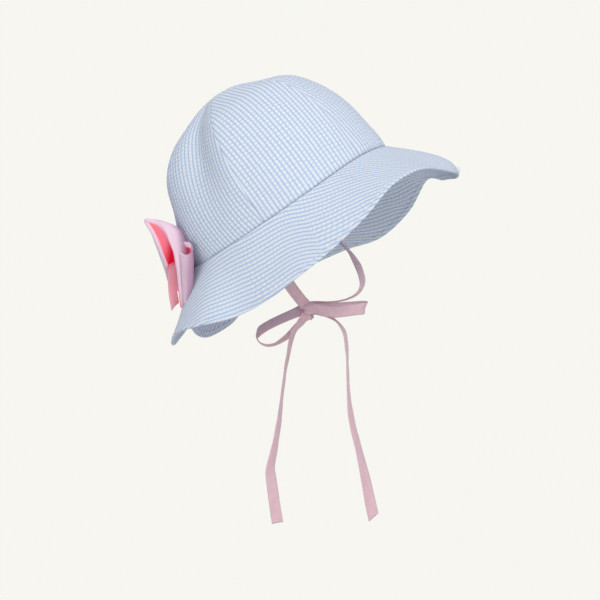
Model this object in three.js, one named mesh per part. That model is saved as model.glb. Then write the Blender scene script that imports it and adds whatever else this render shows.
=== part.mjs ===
// A baby's seersucker sun hat: six-gore crown, wide soft brim, ribbon bow at the centre back and two ribbon
// ties knotted in a bow under the chin. Millimetres, +Z up. The origin is the centre of the head opening.
// The hat tips back as it does on a head: its front faces +X and rises, the wearer's left is +Y.
import * as THREE from 'three';

// Driving sizes
const headLength = 170;
const headWidth = 138;
const crownHeight = 99;
const brimWidth = 57;
const clothThickness = 1.5;
const seamGap = 0.3;
const sideDip = 6;
// How far the seam drops at the centre front, and how far the cloth sinks round the crown's top
const frontDrop = 3;
const frontDropSpreadDeg = 25;
const topSink = 5.6;
const topSinkShare = { height: 0.78, rise: 0.17, lessAtBack: 0.4 };
const tiltBackDeg = 34;

// Back bow
const bowHeight = 69;
const bowHalfSpan = 47;
const innerBowHalfSpan = 40;
const bowTailReach = 34;
const bowCloth = 1.5;
const bowKnotLength = 16;
const bowKnotRadius = 10;
// How far the brim runs back for each millimetre that it falls, beside the bow
const backBrimRun = 1.25;
// Extra clearance there, as a share, reached this far below the seam
const backBrimLean = 0.7;
const backBrimBlend = 8;

// Chin ties
const tieWidth = 8.5;
const tieThickness = 0.8;
const tieKnotSize = { x: 10, y: 15, z: 11 };
const tieKnotCentre = new THREE.Vector3(16.5, -1.5, -74.5);

// Mesh fineness
const goreColumns = 10;
const goreRows = 14;
const brimColumns = 96;
const brimRows = 7;

const seersucker = new THREE.MeshStandardMaterial({ color: 0xc3d3ee, roughness: 0.9, metalness: 0 });
const bowRibbon = new THREE.MeshStandardMaterial({ color: 0xeec3d6, roughness: 0.7, metalness: 0 });
const tieRibbon = new THREE.MeshStandardMaterial({ color: 0xd7aab9, roughness: 0.6, metalness: 0 });

const radians = THREE.MathUtils.degToRad;

// Crown profile: how boxy the dome is at the front and at the back (2 is a plain ellipse)
const frontFullness = 2.5;
const backFullness = 2.15;
// The gores stop a seam's gap short of the crown's pole
const goreTopShare = 1 - seamGap / (crownHeight * 1.2);

// Gores, going round from the front by the wearer's right side. Each starts at its seam's azimuth in
// degrees. Flatness is how far the gore's middle lies inside the round outline, as a share of its radius.
const gores = [
  { name: 'crown_right_front', from: 31, to: 95, flatness: 0.045 },
  { name: 'crown_right_back', from: 95, to: 150, flatness: 0.06 },
  { name: 'crown_back', from: 150, to: 210, flatness: 0.02 },
  { name: 'crown_left_back', from: 210, to: 265, flatness: 0.045 },
  { name: 'crown_left_front', from: 265, to: 329, flatness: 0.045 },
  { name: 'crown_front', from: 329, to: 391, flatness: 0 },
];

// Soft dents in the crown: azimuth and height share of the middle, spread in degrees and in height share,
// and depth as a share of headWidth.
const dents = [
  { azimuth: 117, height: 0.52, spread: 14, rise: 0.33, depth: 0.065 },
  { azimuth: 180, height: 0.26, spread: 40, rise: 0.12, depth: 0.0326 },
  { azimuth: 0, height: 0.42, spread: 45, rise: 0.22, depth: 0.016 },
  { azimuth: 0, height: 0.02, spread: 24, rise: 0.05, depth: -0.0116 },
];

// The brim's waves, going round like the gores: azimuth in degrees, slope below the opening's plane in
// degrees at the seam and at the outer edge, width as a share of brimWidth, and how late the slope changes
// between the two (1 evenly, higher only near the edge).
const brimWaves = [
  { azimuth: 0, slopeAtSeam: 43, slopeAtEdge: 124, width: 1.06, lateness: 5.5 },
  { azimuth: 15, slopeAtSeam: 45, slopeAtEdge: 68, width: 0.95, lateness: 4 },
  { azimuth: 30, slopeAtSeam: 40, slopeAtEdge: 36, width: 0.985, lateness: 2 },
  { azimuth: 45, slopeAtSeam: 38, slopeAtEdge: 34, width: 1, lateness: 1 },
  { azimuth: 60, slopeAtSeam: 46, slopeAtEdge: 48, width: 1, lateness: 1 },
  { azimuth: 75, slopeAtSeam: 54, slopeAtEdge: 54, width: 1, lateness: 1 },
  { azimuth: 90, slopeAtSeam: 60, slopeAtEdge: 56, width: 1, lateness: 1 },
  { azimuth: 105, slopeAtSeam: 62, slopeAtEdge: 60, width: 1, lateness: 1 },
  { azimuth: 120, slopeAtSeam: 58, slopeAtEdge: 58, width: 1, lateness: 1 },
  { azimuth: 135, slopeAtSeam: 46, slopeAtEdge: 40, width: 1, lateness: 1 },
  { azimuth: 150, slopeAtSeam: 40, slopeAtEdge: 37, width: 0.95, lateness: 1 },
  { azimuth: 160, slopeAtSeam: 40, slopeAtEdge: 40, width: 0.98, lateness: 1 },
  { azimuth: 167, slopeAtSeam: 42, slopeAtEdge: 42, width: 1, lateness: 1 },
  { azimuth: 174, slopeAtSeam: 44, slopeAtEdge: 46, width: 0.86, lateness: 1 },
  { azimuth: 181, slopeAtSeam: 46, slopeAtEdge: 50, width: 0.74, lateness: 1 },
  { azimuth: 189, slopeAtSeam: 48, slopeAtEdge: 54, width: 0.88, lateness: 1 },
  { azimuth: 197, slopeAtSeam: 48, slopeAtEdge: 56, width: 0.95, lateness: 1 },
  { azimuth: 212, slopeAtSeam: 48, slopeAtEdge: 50, width: 0.95, lateness: 1 },
  { azimuth: 227, slopeAtSeam: 34, slopeAtEdge: 34, width: 1, lateness: 1 },
  { azimuth: 240, slopeAtSeam: 28, slopeAtEdge: 28, width: 1, lateness: 1 },
  { azimuth: 255, slopeAtSeam: 30, slopeAtEdge: 30, width: 1, lateness: 1 },
  { azimuth: 270, slopeAtSeam: 38, slopeAtEdge: 36, width: 1, lateness: 1 },
  { azimuth: 285, slopeAtSeam: 48, slopeAtEdge: 50, width: 1, lateness: 1 },
  { azimuth: 300, slopeAtSeam: 46, slopeAtEdge: 44, width: 1, lateness: 1 },
  { azimuth: 315, slopeAtSeam: 32, slopeAtEdge: 34, width: 0.97, lateness: 1 },
  { azimuth: 330, slopeAtSeam: 37.5, slopeAtEdge: 92, width: 1, lateness: 3.5 },
  { azimuth: 345, slopeAtSeam: 42.5, slopeAtEdge: 128, width: 1.08, lateness: 5 },
];

// A mesh from points and triangles, with its faces turned outwards.
function solid(name, points, triangles, material) {
  const volume = triangles.reduce((sum, [a, b, c]) => {
    const cross = new THREE.Vector3().crossVectors(points[b], points[c]);
    return sum + points[a].dot(cross);
  }, 0);
  const faces = volume > 0 ? triangles : triangles.map(([a, b, c]) => [a, c, b]);
  const geometry = new THREE.BufferGeometry();
  geometry.setAttribute('position', new THREE.Float32BufferAttribute(points.flatMap((p) => p.toArray()), 3));
  geometry.setIndex(faces.flat());
  geometry.computeVertexNormals();
  const mesh = new THREE.Mesh(geometry, material);
  mesh.name = name;
  return mesh;
}

// A sheet with thickness. skin(u, v) gives its outer and inner point, u across and v along, both 0 to 1.
function sheet(name, skin, columns, rows, material, ring = false) {
  const across = ring ? columns : columns + 1;
  const points = [];
  for (let i = 0; i < across; i += 1) {
    for (let j = 0; j <= rows; j += 1) {
      const { outer, inner } = skin(i / columns, j / rows);
      points.push(outer, inner);
    }
  }
  const at = (i, j, side) => 2 * ((i % across) * (rows + 1) + j) + side;
  const triangles = [];
  const quad = (a, b, c, d) => triangles.push([a, b, c], [a, c, d]);
  for (let i = 0; i < columns; i += 1) {
    for (let j = 0; j < rows; j += 1) {
      quad(at(i, j, 0), at(i + 1, j, 0), at(i + 1, j + 1, 0), at(i, j + 1, 0));
      quad(at(i, j, 1), at(i, j + 1, 1), at(i + 1, j + 1, 1), at(i + 1, j, 1));
    }
    quad(at(i, 0, 0), at(i, 0, 1), at(i + 1, 0, 1), at(i + 1, 0, 0));
    quad(at(i, rows, 0), at(i + 1, rows, 0), at(i + 1, rows, 1), at(i, rows, 1));
  }
  for (let j = 0; j < rows && !ring; j += 1) {
    quad(at(0, j, 0), at(0, j + 1, 0), at(0, j + 1, 1), at(0, j, 1));
    quad(at(columns, j, 0), at(columns, j, 1), at(columns, j + 1, 1), at(columns, j + 1, 0));
  }
  return solid(name, points, triangles, material);
}

// Value of one column of a table that goes round the hat, on a smooth curve through its rows.
function roundTheHat(table, column, azimuth) {
  const turn = THREE.MathUtils.euclideanModulo(azimuth, 360);
  const count = table.length;
  const row = (k) => {
    const lap = Math.floor(k / count);
    const entry = table[k - lap * count];
    return { x: entry.azimuth + 360 * lap, y: entry[column] };
  };
  let k = 0;
  while (row(k + 1).x <= turn) k += 1;
  const [p0, p1, p2, p3] = [row(k - 1), row(k), row(k + 1), row(k + 2)];
  const step = p2.x - p1.x;
  const slope1 = ((p2.y - p0.y) / (p2.x - p0.x)) * step;
  const slope2 = ((p3.y - p1.y) / (p3.x - p1.x)) * step;
  const f = (turn - p1.x) / step;
  return (2 * f ** 3 - 3 * f ** 2 + 1) * p1.y + (f ** 3 - 2 * f ** 2 + f) * slope1
    + (3 * f ** 2 - 2 * f ** 3) * p2.y + (f ** 3 - f ** 2) * slope2;
}

// The crown's outer face at an azimuth in degrees and a height share, 0 at the brim seam and 1 at the top.
function crownPoint(azimuth, height) {
  const turn = radians(azimuth);
  const rise = height * Math.PI / 2;
  const fullness = frontFullness + (backFullness - frontFullness) * (1 - Math.cos(turn)) / 2;
  const spread = Math.cos(rise) ** (2 / fullness);
  const lift = Math.sin(rise) ** (2 / fullness);
  const gore = gores.find((g) => THREE.MathUtils.euclideanModulo(azimuth - g.from, 360) <= g.to - g.from);
  const across = THREE.MathUtils.euclideanModulo(azimuth - gore.from, 360) / (gore.to - gore.from);
  const fade = Math.sin(Math.PI * height) ** 0.7;
  const flat = 1 - gore.flatness * 4 * across * (1 - across) * fade;
  const point = new THREE.Vector3(
    (headLength / 2) * Math.cos(turn) * spread * flat,
    -(headWidth / 2) * Math.sin(turn) * spread * flat,
    crownHeight * lift - sideDip * Math.sin(turn) ** 2 * (1 - height) ** 2,
  );
  const fromFront = THREE.MathUtils.euclideanModulo(azimuth + 180, 360) - 180;
  point.z -= frontDrop * Math.exp(-((fromFront / frontDropSpreadDeg) ** 2)) * (1 - height) ** 14;
  const fromSink = (height - topSinkShare.height) / topSinkShare.rise;
  const sink = topSink * (1 - topSinkShare.lessAtBack * (1 - Math.cos(turn)) / 2);
  point.z -= sink * Math.exp(-(fromSink ** 2)) * (1 - height ** 8);
  const outwards = sideways(point);
  for (const dent of dents) {
    const away = THREE.MathUtils.euclideanModulo(azimuth - dent.azimuth + 180, 360) - 180;
    const share = Math.exp(-((away / dent.spread) ** 2) - ((height - dent.height) / dent.rise) ** 2);
    point.addScaledVector(outwards, -dent.depth * headWidth * share);
  }
  return point;
}

// Level direction straight out of the round head opening, beside a point.
function sideways(point) {
  return new THREE.Vector3(point.x / (headLength / 2) ** 2, point.y / (headWidth / 2) ** 2, 0).normalize();
}

// Direction out of the smooth dome, beside a point.
function outOfDome(point) {
  return new THREE.Vector3(
    point.x / (headLength / 2) ** 2,
    point.y / (headWidth / 2) ** 2,
    Math.max(point.z, 0) / crownHeight ** 2,
  ).normalize();
}

// One gore between its two seams, with half the seam's gap left on each side.
function crownGore(gore) {
  const skin = (u, v) => {
    const height = v * goreTopShare;
    const middle = crownPoint((gore.from + gore.to) / 2, height);
    const halfGapDeg = THREE.MathUtils.radToDeg(seamGap / 2 / Math.hypot(middle.x, middle.y)) * 1.15;
    const azimuth = THREE.MathUtils.lerp(gore.from + halfGapDeg, gore.to - halfGapDeg, u);
    const outer = crownPoint(azimuth, height);
    const inner = outer.clone().addScaledVector(outOfDome(outer), -clothThickness);
    return { outer, inner };
  };
  return sheet(gore.name, skin, goreColumns, goreRows, seersucker);
}

// The brim's upper face at an azimuth and a share of its width, 0 at the seam and 1 at the outer edge.
function brimPoint(azimuth, share) {
  const start = crownPoint(azimuth, 0);
  const outwards = sideways(start);
  const first = radians(roundTheHat(brimWaves, 'slopeAtSeam', azimuth));
  const last = radians(roundTheHat(brimWaves, 'slopeAtEdge', azimuth));
  const width = brimWidth * roundTheHat(brimWaves, 'width', azimuth);
  const lateness = Math.max(roundTheHat(brimWaves, 'lateness', azimuth), 1);
  const pieces = 24;
  const point = start.clone();
  point.z -= seamGap;
  for (let k = 0; k < pieces; k += 1) {
    const slope = first + (last - first) * (share * (k + 0.5) / pieces) ** lateness;
    point.addScaledVector(outwards, Math.cos(slope) * width * share / pieces);
    point.z -= Math.sin(slope) * width * share / pieces;
  }
  return point;
}

// Direction up and out of the brim's upper face.
function outOfBrim(azimuth, share) {
  const step = 0.5;
  const round = brimPoint(azimuth + step, share).sub(brimPoint(azimuth - step, share));
  const out = brimPoint(azimuth, share + 0.01).sub(brimPoint(azimuth, share));
  return new THREE.Vector3().crossVectors(round, out).normalize();
}

function brim() {
  const skin = (u, v) => {
    const azimuth = 360 * u;
    const share = 1 - (1 - v) ** 1.4;
    const outer = brimPoint(azimuth, share);
    const inner = outer.clone().addScaledVector(outOfBrim(azimuth, share), -clothThickness);
    return { outer, inner };
  };
  return sheet('brim', skin, brimColumns, brimRows, seersucker, true);
}

// The bow's pieces are folded sheets. Each table row is one fold point of the section, as shares of
// bowHeight from the seam's centre back: x away from the hat is negative, z is up along the crown. The
// clearance from the hat is in millimetres.
const outerLoopFolds = [
  { knotX: -0.25, knotZ: 0.03, endX: -0.15, endZ: 0.1, clear: 9.3 },
  { knotX: -0.25, knotZ: 0.1, endX: -0.1, endZ: 0.3, clear: 9.3 },
  { knotX: -0.24, knotZ: 0.16, endX: -0.045, endZ: 0.52, clear: 9.3 },
  { knotX: -0.22, knotZ: 0.2, endX: 0.0, endZ: 0.68, clear: 9.3 },
  { knotX: -0.19, knotZ: 0.2, endX: 0.05, endZ: 0.69, clear: 8 },
  { knotX: -0.175, knotZ: 0.16, endX: 0.09, endZ: 0.6, clear: 7.6 },
  { knotX: -0.17, knotZ: 0.1, endX: 0.065, endZ: 0.4, clear: 7.6 },
  { knotX: -0.175, knotZ: 0.03, endX: 0.035, endZ: 0.2, clear: 7.6 },
  { knotX: -0.175, knotZ: -0.04, endX: -0.02, endZ: 0.05, clear: 7.6 },
  { knotX: -0.18, knotZ: -0.09, endX: -0.125, endZ: -0.14, clear: 7.6 },
  { knotX: -0.18, knotZ: -0.13, endX: -0.215, endZ: -0.31, clear: 7.6 },
];

const innerLoopFolds = [
  { knotX: -0.12, knotZ: -0.02, endX: -0.12, endZ: -0.24, clear: 4.2 },
  { knotX: -0.12, knotZ: 0.04, endX: 0.0, endZ: -0.04, clear: 4.2 },
  { knotX: -0.125, knotZ: 0.1, endX: 0.1, endZ: 0.16, clear: 4.2 },
  { knotX: -0.11, knotZ: 0.15, endX: 0.13, endZ: 0.27, clear: 3.9 },
  { knotX: -0.085, knotZ: 0.15, endX: 0.19, endZ: 0.27, clear: 1.9 },
  { knotX: -0.07, knotZ: 0.1, endX: 0.2, endZ: 0.17, clear: 1.6 },
  { knotX: -0.065, knotZ: 0.05, endX: 0.085, endZ: -0.04, clear: 1.6 },
  { knotX: -0.065, knotZ: 0.01, endX: -0.085, endZ: -0.24, clear: 1.6 },
];

const bowTailFolds = [
  { knotX: -0.22, knotZ: -0.03, endX: -0.36, endZ: -0.25, reach: 1, clear: 10.5 },
  { knotX: -0.22, knotZ: -0.07, endX: -0.35, endZ: -0.24, reach: 0.8, clear: 10.5 },
  { knotX: -0.22, knotZ: -0.11, endX: -0.34, endZ: -0.225, reach: 0.6, clear: 10.5 },
];

// How far back the hat's outer face reaches at a level, beside the centre back.
function backOfHat(y, z) {
  const rise = Math.asin((Math.max(z, 0) / crownHeight) ** (backFullness / 2));
  const spread = Math.cos(rise) ** (2 / backFullness);
  const run = Math.max(-z, 0) * backBrimRun;
  const half = { length: (headLength / 2) * spread + run, width: (headWidth / 2) * spread + run };
  return -half.length * Math.sqrt(1 - (y / half.width) ** 2);
}

// A folded sheet of the bow, lofted from the knot out to the wearer's right (side -1) or left (side 1).
// Each fold point keeps its row's clearance from the hat behind it.
function bowSheet(name, folds, halfSpan, side) {
  const place = (u, v) => {
    const k = Math.min(Math.floor(u * (folds.length - 1)), folds.length - 2);
    const f = u * (folds.length - 1) - k;
    const mix = (key) => THREE.MathUtils.lerp(folds[k][key] ?? 1, folds[k + 1][key] ?? 1, f);
    const open = Math.sin(v * Math.PI / 2) ** 0.9;
    const reach = bowKnotLength / 2 + seamGap + v * (halfSpan * mix('reach') - bowKnotLength / 2);
    const x = -headLength / 2 + bowHeight * THREE.MathUtils.lerp(mix('knotX'), mix('endX'), open);
    const z = bowHeight * THREE.MathUtils.lerp(mix('knotZ'), mix('endZ'), open);
    const lean = 1 + backBrimLean * Math.min(Math.max(-z, 0) / backBrimBlend, 1);
    return new THREE.Vector3(Math.min(x, backOfHat(reach, z) - mix('clear') * lean), side * reach, z);
  };
  const skin = (u, v) => {
    const step = 0.02;
    const along = place(Math.min(u + step, 1), v).sub(place(Math.max(u - step, 0), v));
    const inwards = new THREE.Vector3(-along.z, 0, along.x).normalize();
    const middle = place(u, v);
    return {
      outer: middle.clone().addScaledVector(inwards, bowCloth / 2),
      inner: middle.clone().addScaledVector(inwards, -bowCloth / 2),
    };
  };
  return sheet(name, skin, 2 * (folds.length - 1), 6, bowRibbon);
}

// The bow's knot, a barrel lying across the centre back.
function bowKnot() {
  const half = bowKnotLength / 2;
  const profile = [
    new THREE.Vector2(0, -half),
    new THREE.Vector2(bowKnotRadius * 0.75, -half),
    new THREE.Vector2(bowKnotRadius * 0.95, -half * 0.6),
    new THREE.Vector2(bowKnotRadius, 0),
    new THREE.Vector2(bowKnotRadius * 0.95, half * 0.6),
    new THREE.Vector2(bowKnotRadius * 0.75, half),
    new THREE.Vector2(0, half),
  ];
  const mesh = new THREE.Mesh(new THREE.LatheGeometry(profile, 16), bowRibbon);
  mesh.name = 'bow_knot';
  mesh.position.set(-headLength / 2 - bowKnotRadius - seamGap - 0.6, 0, bowKnotRadius * 0.35);
  return mesh;
}

// Routes of the ties, in millimetres from the origin: the ribbon's centre, then which way its width points.
const tieRoutes = {
  tie_strap_right: [
    [-8.8, -64.9, -13.3, 0.93, 0.05, 0.35], [-3.2, -49.5, -30, 0.88, 0.15, 0.43],
    [2.4, -34, -45.8, 0.88, 0.15, 0.43], [8, -20, -59, 0.88, 0.15, 0.43],
    [12.7, -9.6, -68.2, 0.88, 0.15, 0.43],
  ],
  tie_strap_left: [
    [-2.9, 66.3, -9.2, 0.5, 0, 0.86], [12, 61, -18, 0.6, 0.1, 0.75], [27, 54.5, -26, 0.6, 0.2, 0.7],
    [38.2, 46, -34, 0.6, 0.3, 0.8], [44.4, 38, -40.3, 0.75, 0.3, 0.5], [49, 30, -46.7, 0.7, 0.5, 0.3],
    [52.2, 22, -53.1, 0.4, 0.8, 0.2], [52.6, 15, -59.4, 0.1, 1, 0], [49.9, 11, -64.2, 0.1, 1, 0.2],
    [43.7, 9.5, -67.5, 0.1, 1, 0.3], [35.6, 8.2, -69.5, 0.1, 0.8, 0.6], [28.5, 5.8, -71.5, 0.1, 0.5, 0.85],
    [22.6, 4.3, -72.8, 0, 0.2, 0.98],
  ],
  tie_loop_back: [
    [9.6, -3.8, -76.4, -0.4, 0, 0.9], [4.7, -5, -78.6, -0.3, 0.1, 1], [-4.4, -6, -82.5, 0, 0.45, 0.9],
    [-12.7, -6, -86.5, 0, 0.6, 0.8], [-19.8, -5, -90.8, -0.2, 0.75, 0.6], [-22.9, -3, -94.7, -0.4, 0.9, 0.2],
    [-22.4, -2, -98.4, -0.2, 1, 0], [-19.2, -1, -101.4, 0, 1, 0.1], [-14.9, 0, -102.6, 0, 0.95, 0.3],
    [-9.7, 1, -101.7, 0, 0.9, 0.45], [-4.6, 2, -98.8, 0, 0.8, 0.6], [0.5, 3, -94.7, 0, 0.7, 0.7],
    [5, 4, -89.5, -0.2, 0.6, 0.75], [9.2, 4.5, -85.2, -0.7, 0.5, 0.5], [12.2, 4.5, -82, -0.8, 0.4, 0.4],
  ],
  tie_tail_back: [
    [13.6, -6.8, -81, 0.9, -0.1, -0.4], [10.4, -8.5, -85.5, 0.9, 0.2, -0.2], [7, -9, -90, 0.8, 0.55, 0],
    [4.5, -8, -96, 0.5, 0.85, 0.1], [2.6, -7, -103.4, 0.4, 0.9, 0.1], [-1.2, -4, -120, 0.25, 0.97, 0],
    [-3.7, -3, -139.4, 0.3, 0.95, 0], [-5.8, -3, -160.3, 0.55, 0.85, 0], [-8.8, -4, -179, 0.65, 0.75, 0.1],
    [-11.7, -5, -193, 0.85, 0.5, 0.05], [-11.4, -4, -202, 0.95, 0.3, -0.1],
    [-9.1, -2, -223, 1, 0, -0.15], [-7.4, -1, -234.4, 1, 0, -0.1],
  ],
  tie_loop_front: [
    [22.7, -6, -74.3, 0.1, 0, 1], [29.8, -7, -75.6, 0, 0, 1], [37.5, -8, -76.2, -0.05, 0, 1],
    [45.1, -8.5, -75.3, 0.05, 0, 1], [51.7, -8, -74.4, 0.1, 0, 1], [56.7, -6.5, -73.8, 0.15, 0.1, 1],
    [58.8, -4, -73.6, 0.15, 0.1, 1], [59, -1, -73, 0.15, 0.2, 1], [56.5, 1, -72.8, 0.1, 0.25, 1],
    [50.9, 2, -73.2, 0.05, 0.25, 1], [43.2, 2.4, -73.8, 0, 0.2, 1], [34.9, 2, -74.5, 0, 0.1, 1],
    [27.5, 1.5, -74.5, 0, 0.1, 1], [22.5, 1.2, -74.5, 0, 0.1, 1],
  ],
  tie_tail_front: [
    [22.8, -2.6, -76.4, 0.3, 0, -1], [31.6, -2.6, -80.2, 0.4, 0, -1], [37.5, -2.2, -84, 0.8, 0.4, -0.5],
    [41, -1.6, -88.5, 0.6, 0.7, -0.3], [43.1, -1, -93, 0.55, 0.8, -0.15], [44.4, -1, -101, 0.4, 0.9, 0],
    [45.5, -1, -115.7, 0.2, 0.97, 0], [46.7, -1, -135.7, 0.3, 0.95, 0], [49.3, -2, -156.3, 0.55, 0.8, 0.1],
    [54.3, -3, -176.8, 0.6, 0.8, 0.15], [58.6, -3, -196, 0.7, 0.7, 0.15], [62.6, -1, -217, 0.9, 0.4, 0.2],
    [65.2, 0, -228.4, 0.95, 0.2, 0.2],
  ],
};

const tieSteps = {
  tie_strap_right: 8,
  tie_strap_left: 15,
  tie_loop_back: 16,
  tie_tail_back: 13,
  tie_loop_front: 15,
  tie_tail_front: 13,
};

// A flat ribbon along its route, its section an eight-sided strip.
function ribbon(name) {
  const route = tieRoutes[name];
  const centre = new THREE.CatmullRomCurve3(route.map(([x, y, z]) => new THREE.Vector3(x, y, z)));
  const facing = new THREE.CatmullRomCurve3(route.map(([, , , x, y, z]) => new THREE.Vector3(x, y, z)));
  const half = { w: tieWidth / 2, t: tieThickness / 2 };
  const section = [
    [half.w, half.t / 2], [half.w - half.t, half.t], [half.t - half.w, half.t], [-half.w, half.t / 2],
    [-half.w, -half.t / 2], [half.t - half.w, -half.t], [half.w - half.t, -half.t], [half.w, -half.t / 2],
  ];
  const steps = tieSteps[name];
  const sides = section.length;
  const points = [];
  for (let i = 0; i <= steps; i += 1) {
    const at = i / steps;
    const middle = centre.getPoint(at);
    const along = centre.getTangent(at);
    const across = facing.getPoint(at);
    across.addScaledVector(along, -across.dot(along)).normalize();
    const face = new THREE.Vector3().crossVectors(along, across);
    for (const [w, t] of section) {
      points.push(middle.clone().addScaledVector(across, w).addScaledVector(face, t));
    }
  }
  const triangles = [];
  for (let i = 0; i < steps; i += 1) {
    for (let k = 0; k < sides; k += 1) {
      const a = i * sides + k;
      const b = i * sides + (k + 1) % sides;
      triangles.push([a, b, b + sides], [a, b + sides, a + sides]);
    }
  }
  const end = steps * sides;
  for (let k = 1; k < sides - 1; k += 1) {
    triangles.push([0, k + 1, k], [end, end + k, end + k + 1]);
  }
  return solid(name, points, triangles, tieRibbon);
}

// The knot under the chin, a small block with worn corners.
function tieKnot() {
  const shape = new THREE.Shape();
  const half = { x: tieKnotSize.x / 2, z: tieKnotSize.z / 2 };
  const corner = 1;
  shape.moveTo(-half.x + corner, -half.z);
  shape.lineTo(half.x - corner, -half.z);
  shape.lineTo(half.x, -half.z + corner);
  shape.lineTo(half.x, half.z - corner);
  shape.lineTo(half.x - corner, half.z);
  shape.lineTo(-half.x + corner, half.z);
  shape.lineTo(-half.x, half.z - corner);
  shape.lineTo(-half.x, -half.z + corner);
  const geometry = new THREE.ExtrudeGeometry(shape, { depth: tieKnotSize.y, bevelEnabled: false });
  geometry.translate(0, 0, -tieKnotSize.y / 2);
  const mesh = new THREE.Mesh(geometry, tieRibbon);
  mesh.name = 'tie_knot';
  mesh.rotation.x = Math.PI / 2;
  mesh.position.copy(tieKnotCentre);
  return mesh;
}

const hat = new THREE.Group();
hat.rotation.y = -radians(tiltBackDeg);
for (const gore of gores) hat.add(crownGore(gore));
hat.add(brim());
hat.add(bowKnot());
for (const [word, side] of [['right', -1], ['left', 1]]) {
  hat.add(bowSheet(`bow_loop_${word}`, outerLoopFolds, bowHalfSpan, side));
  hat.add(bowSheet(`bow_inner_loop_${word}`, innerLoopFolds, innerBowHalfSpan, side));
  hat.add(bowSheet(`bow_tail_${word}`, bowTailFolds, bowTailReach, side));
}

const part = new THREE.Group();
part.add(hat);
for (const name of Object.keys(tieRoutes)) part.add(ribbon(name));
part.add(tieKnot());

export default part;
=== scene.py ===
# A baby's seersucker sun hat, made up in the order it is sewn: crown, brim, stitching, back bow, chin ties.
# Everything is in metres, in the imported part's frame. The hat itself is worked out square to its head
# opening and then tipped back as it is worn.
import math

import bmesh
import bpy
import numpy as np
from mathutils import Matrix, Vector


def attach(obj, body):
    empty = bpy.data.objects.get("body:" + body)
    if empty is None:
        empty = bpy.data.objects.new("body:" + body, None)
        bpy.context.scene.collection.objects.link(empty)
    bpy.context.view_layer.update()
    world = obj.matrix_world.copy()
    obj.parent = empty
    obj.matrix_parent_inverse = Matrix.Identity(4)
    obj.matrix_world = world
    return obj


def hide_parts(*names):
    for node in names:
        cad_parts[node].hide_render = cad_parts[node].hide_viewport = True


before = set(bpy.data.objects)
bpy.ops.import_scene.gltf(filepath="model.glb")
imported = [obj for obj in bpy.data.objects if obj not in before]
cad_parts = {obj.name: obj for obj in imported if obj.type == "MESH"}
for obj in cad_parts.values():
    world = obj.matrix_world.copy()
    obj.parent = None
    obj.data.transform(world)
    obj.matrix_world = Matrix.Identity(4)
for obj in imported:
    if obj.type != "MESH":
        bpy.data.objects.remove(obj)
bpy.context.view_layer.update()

# Crown: six gores of puckered striped cotton, each cut with its stripes along its own centre line and sewn
# edge to edge up to the top. One skin of cloth, no lining.
HEAD_LENGTH, HEAD_WIDTH, CROWN_HEIGHT = 0.170, 0.138, 0.099
SIDE_DIP = 0.006
TILT_BACK = math.radians(34)
FRONT_FULLNESS, BACK_FULLNESS = 2.5, 2.15
FRONT_DROP, FRONT_DROP_SPREAD, FRONT_DROP_FADE = 0.003, 25, 14
CLOTH_THICKNESS = 0.0011
STRIPE_PITCH = 0.0034
PUCKER_DEPTH, PUCKER_STEP = 0.00036, 0.0031
CLOTH_GRAIN = 0.00075

# name, azimuth of its two seams in degrees (from the front, round by the wearer's right), flatness share
GORES = [
    ("crown_right_front", 31, 95, 0.045),
    ("crown_right_back", 95, 150, 0.06),
    ("crown_back", 150, 210, 0.02),
    ("crown_left_back", 210, 265, 0.045),
    ("crown_left_front", 265, 329, 0.045),
    ("crown_front", 329, 391, 0.0),
]
# dent: azimuth, height share, spread in degrees, spread in height share, depth; the last is a small bulge
DENTS = [
    (117, 0.52, 14, 0.33, 0.009), (180, 0.26, 40, 0.12, 0.0045), (0, 0.42, 45, 0.22, 0.0022),
    (0, 0.02, 24, 0.05, -0.0016),
]
# The cloth sinks a little round the top, less towards the back; the seams meet there in a small knob
TOP_SINK, TOP_SINK_LEVEL, TOP_SINK_SPREAD = 0.0056, 0.78, 0.17
TOP_SINK_LESS_BEHIND, KNOB_SHARPNESS = 0.4, 8
# The right back gore's stripes turn upright towards its lower edge
GRAIN_TURN, GRAIN_TURN_REACH = math.radians(20), 0.060
# How far from a seam the cloth is held flat, then the small folds along the seams, each depth and width
GORE_HOLD, BRIM_SEAM_HOLD = 0.0022, 0.002
GORE_FOLD, GORE_FOLD_WIDTH = 0.00035, 0.0009
BRIM_FOLD, BRIM_FOLD_WIDTH = 0.0003, 0.001
CROWN_SLACK = 0.0006
CALM_TOP_SHARE = 0.06
LONGEST_GORE = 0.135
INSIDE_THE_HAT = np.array([0, 0, -0.02])

WHITE_COTTON = (0.715, 0.745, 0.80, 1)
BLUE_COTTON = (0.40, 0.525, 0.71, 1)


def tipped_back(points):
    """From the hat's own upright axes to the way it sits on a head."""
    c, s = math.cos(TILT_BACK), math.sin(TILT_BACK)
    x, z = points[..., 0], points[..., 2]
    return np.stack([x * c - z * s, points[..., 1], x * s + z * c], -1)


def level_outwards(points):
    flat = np.stack([points[..., 0] / (HEAD_LENGTH / 2) ** 2, points[..., 1] / (HEAD_WIDTH / 2) ** 2,
                     np.zeros_like(points[..., 0])], -1)
    return flat / np.maximum(np.linalg.norm(flat, axis=-1, keepdims=True), 1e-12)


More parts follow.
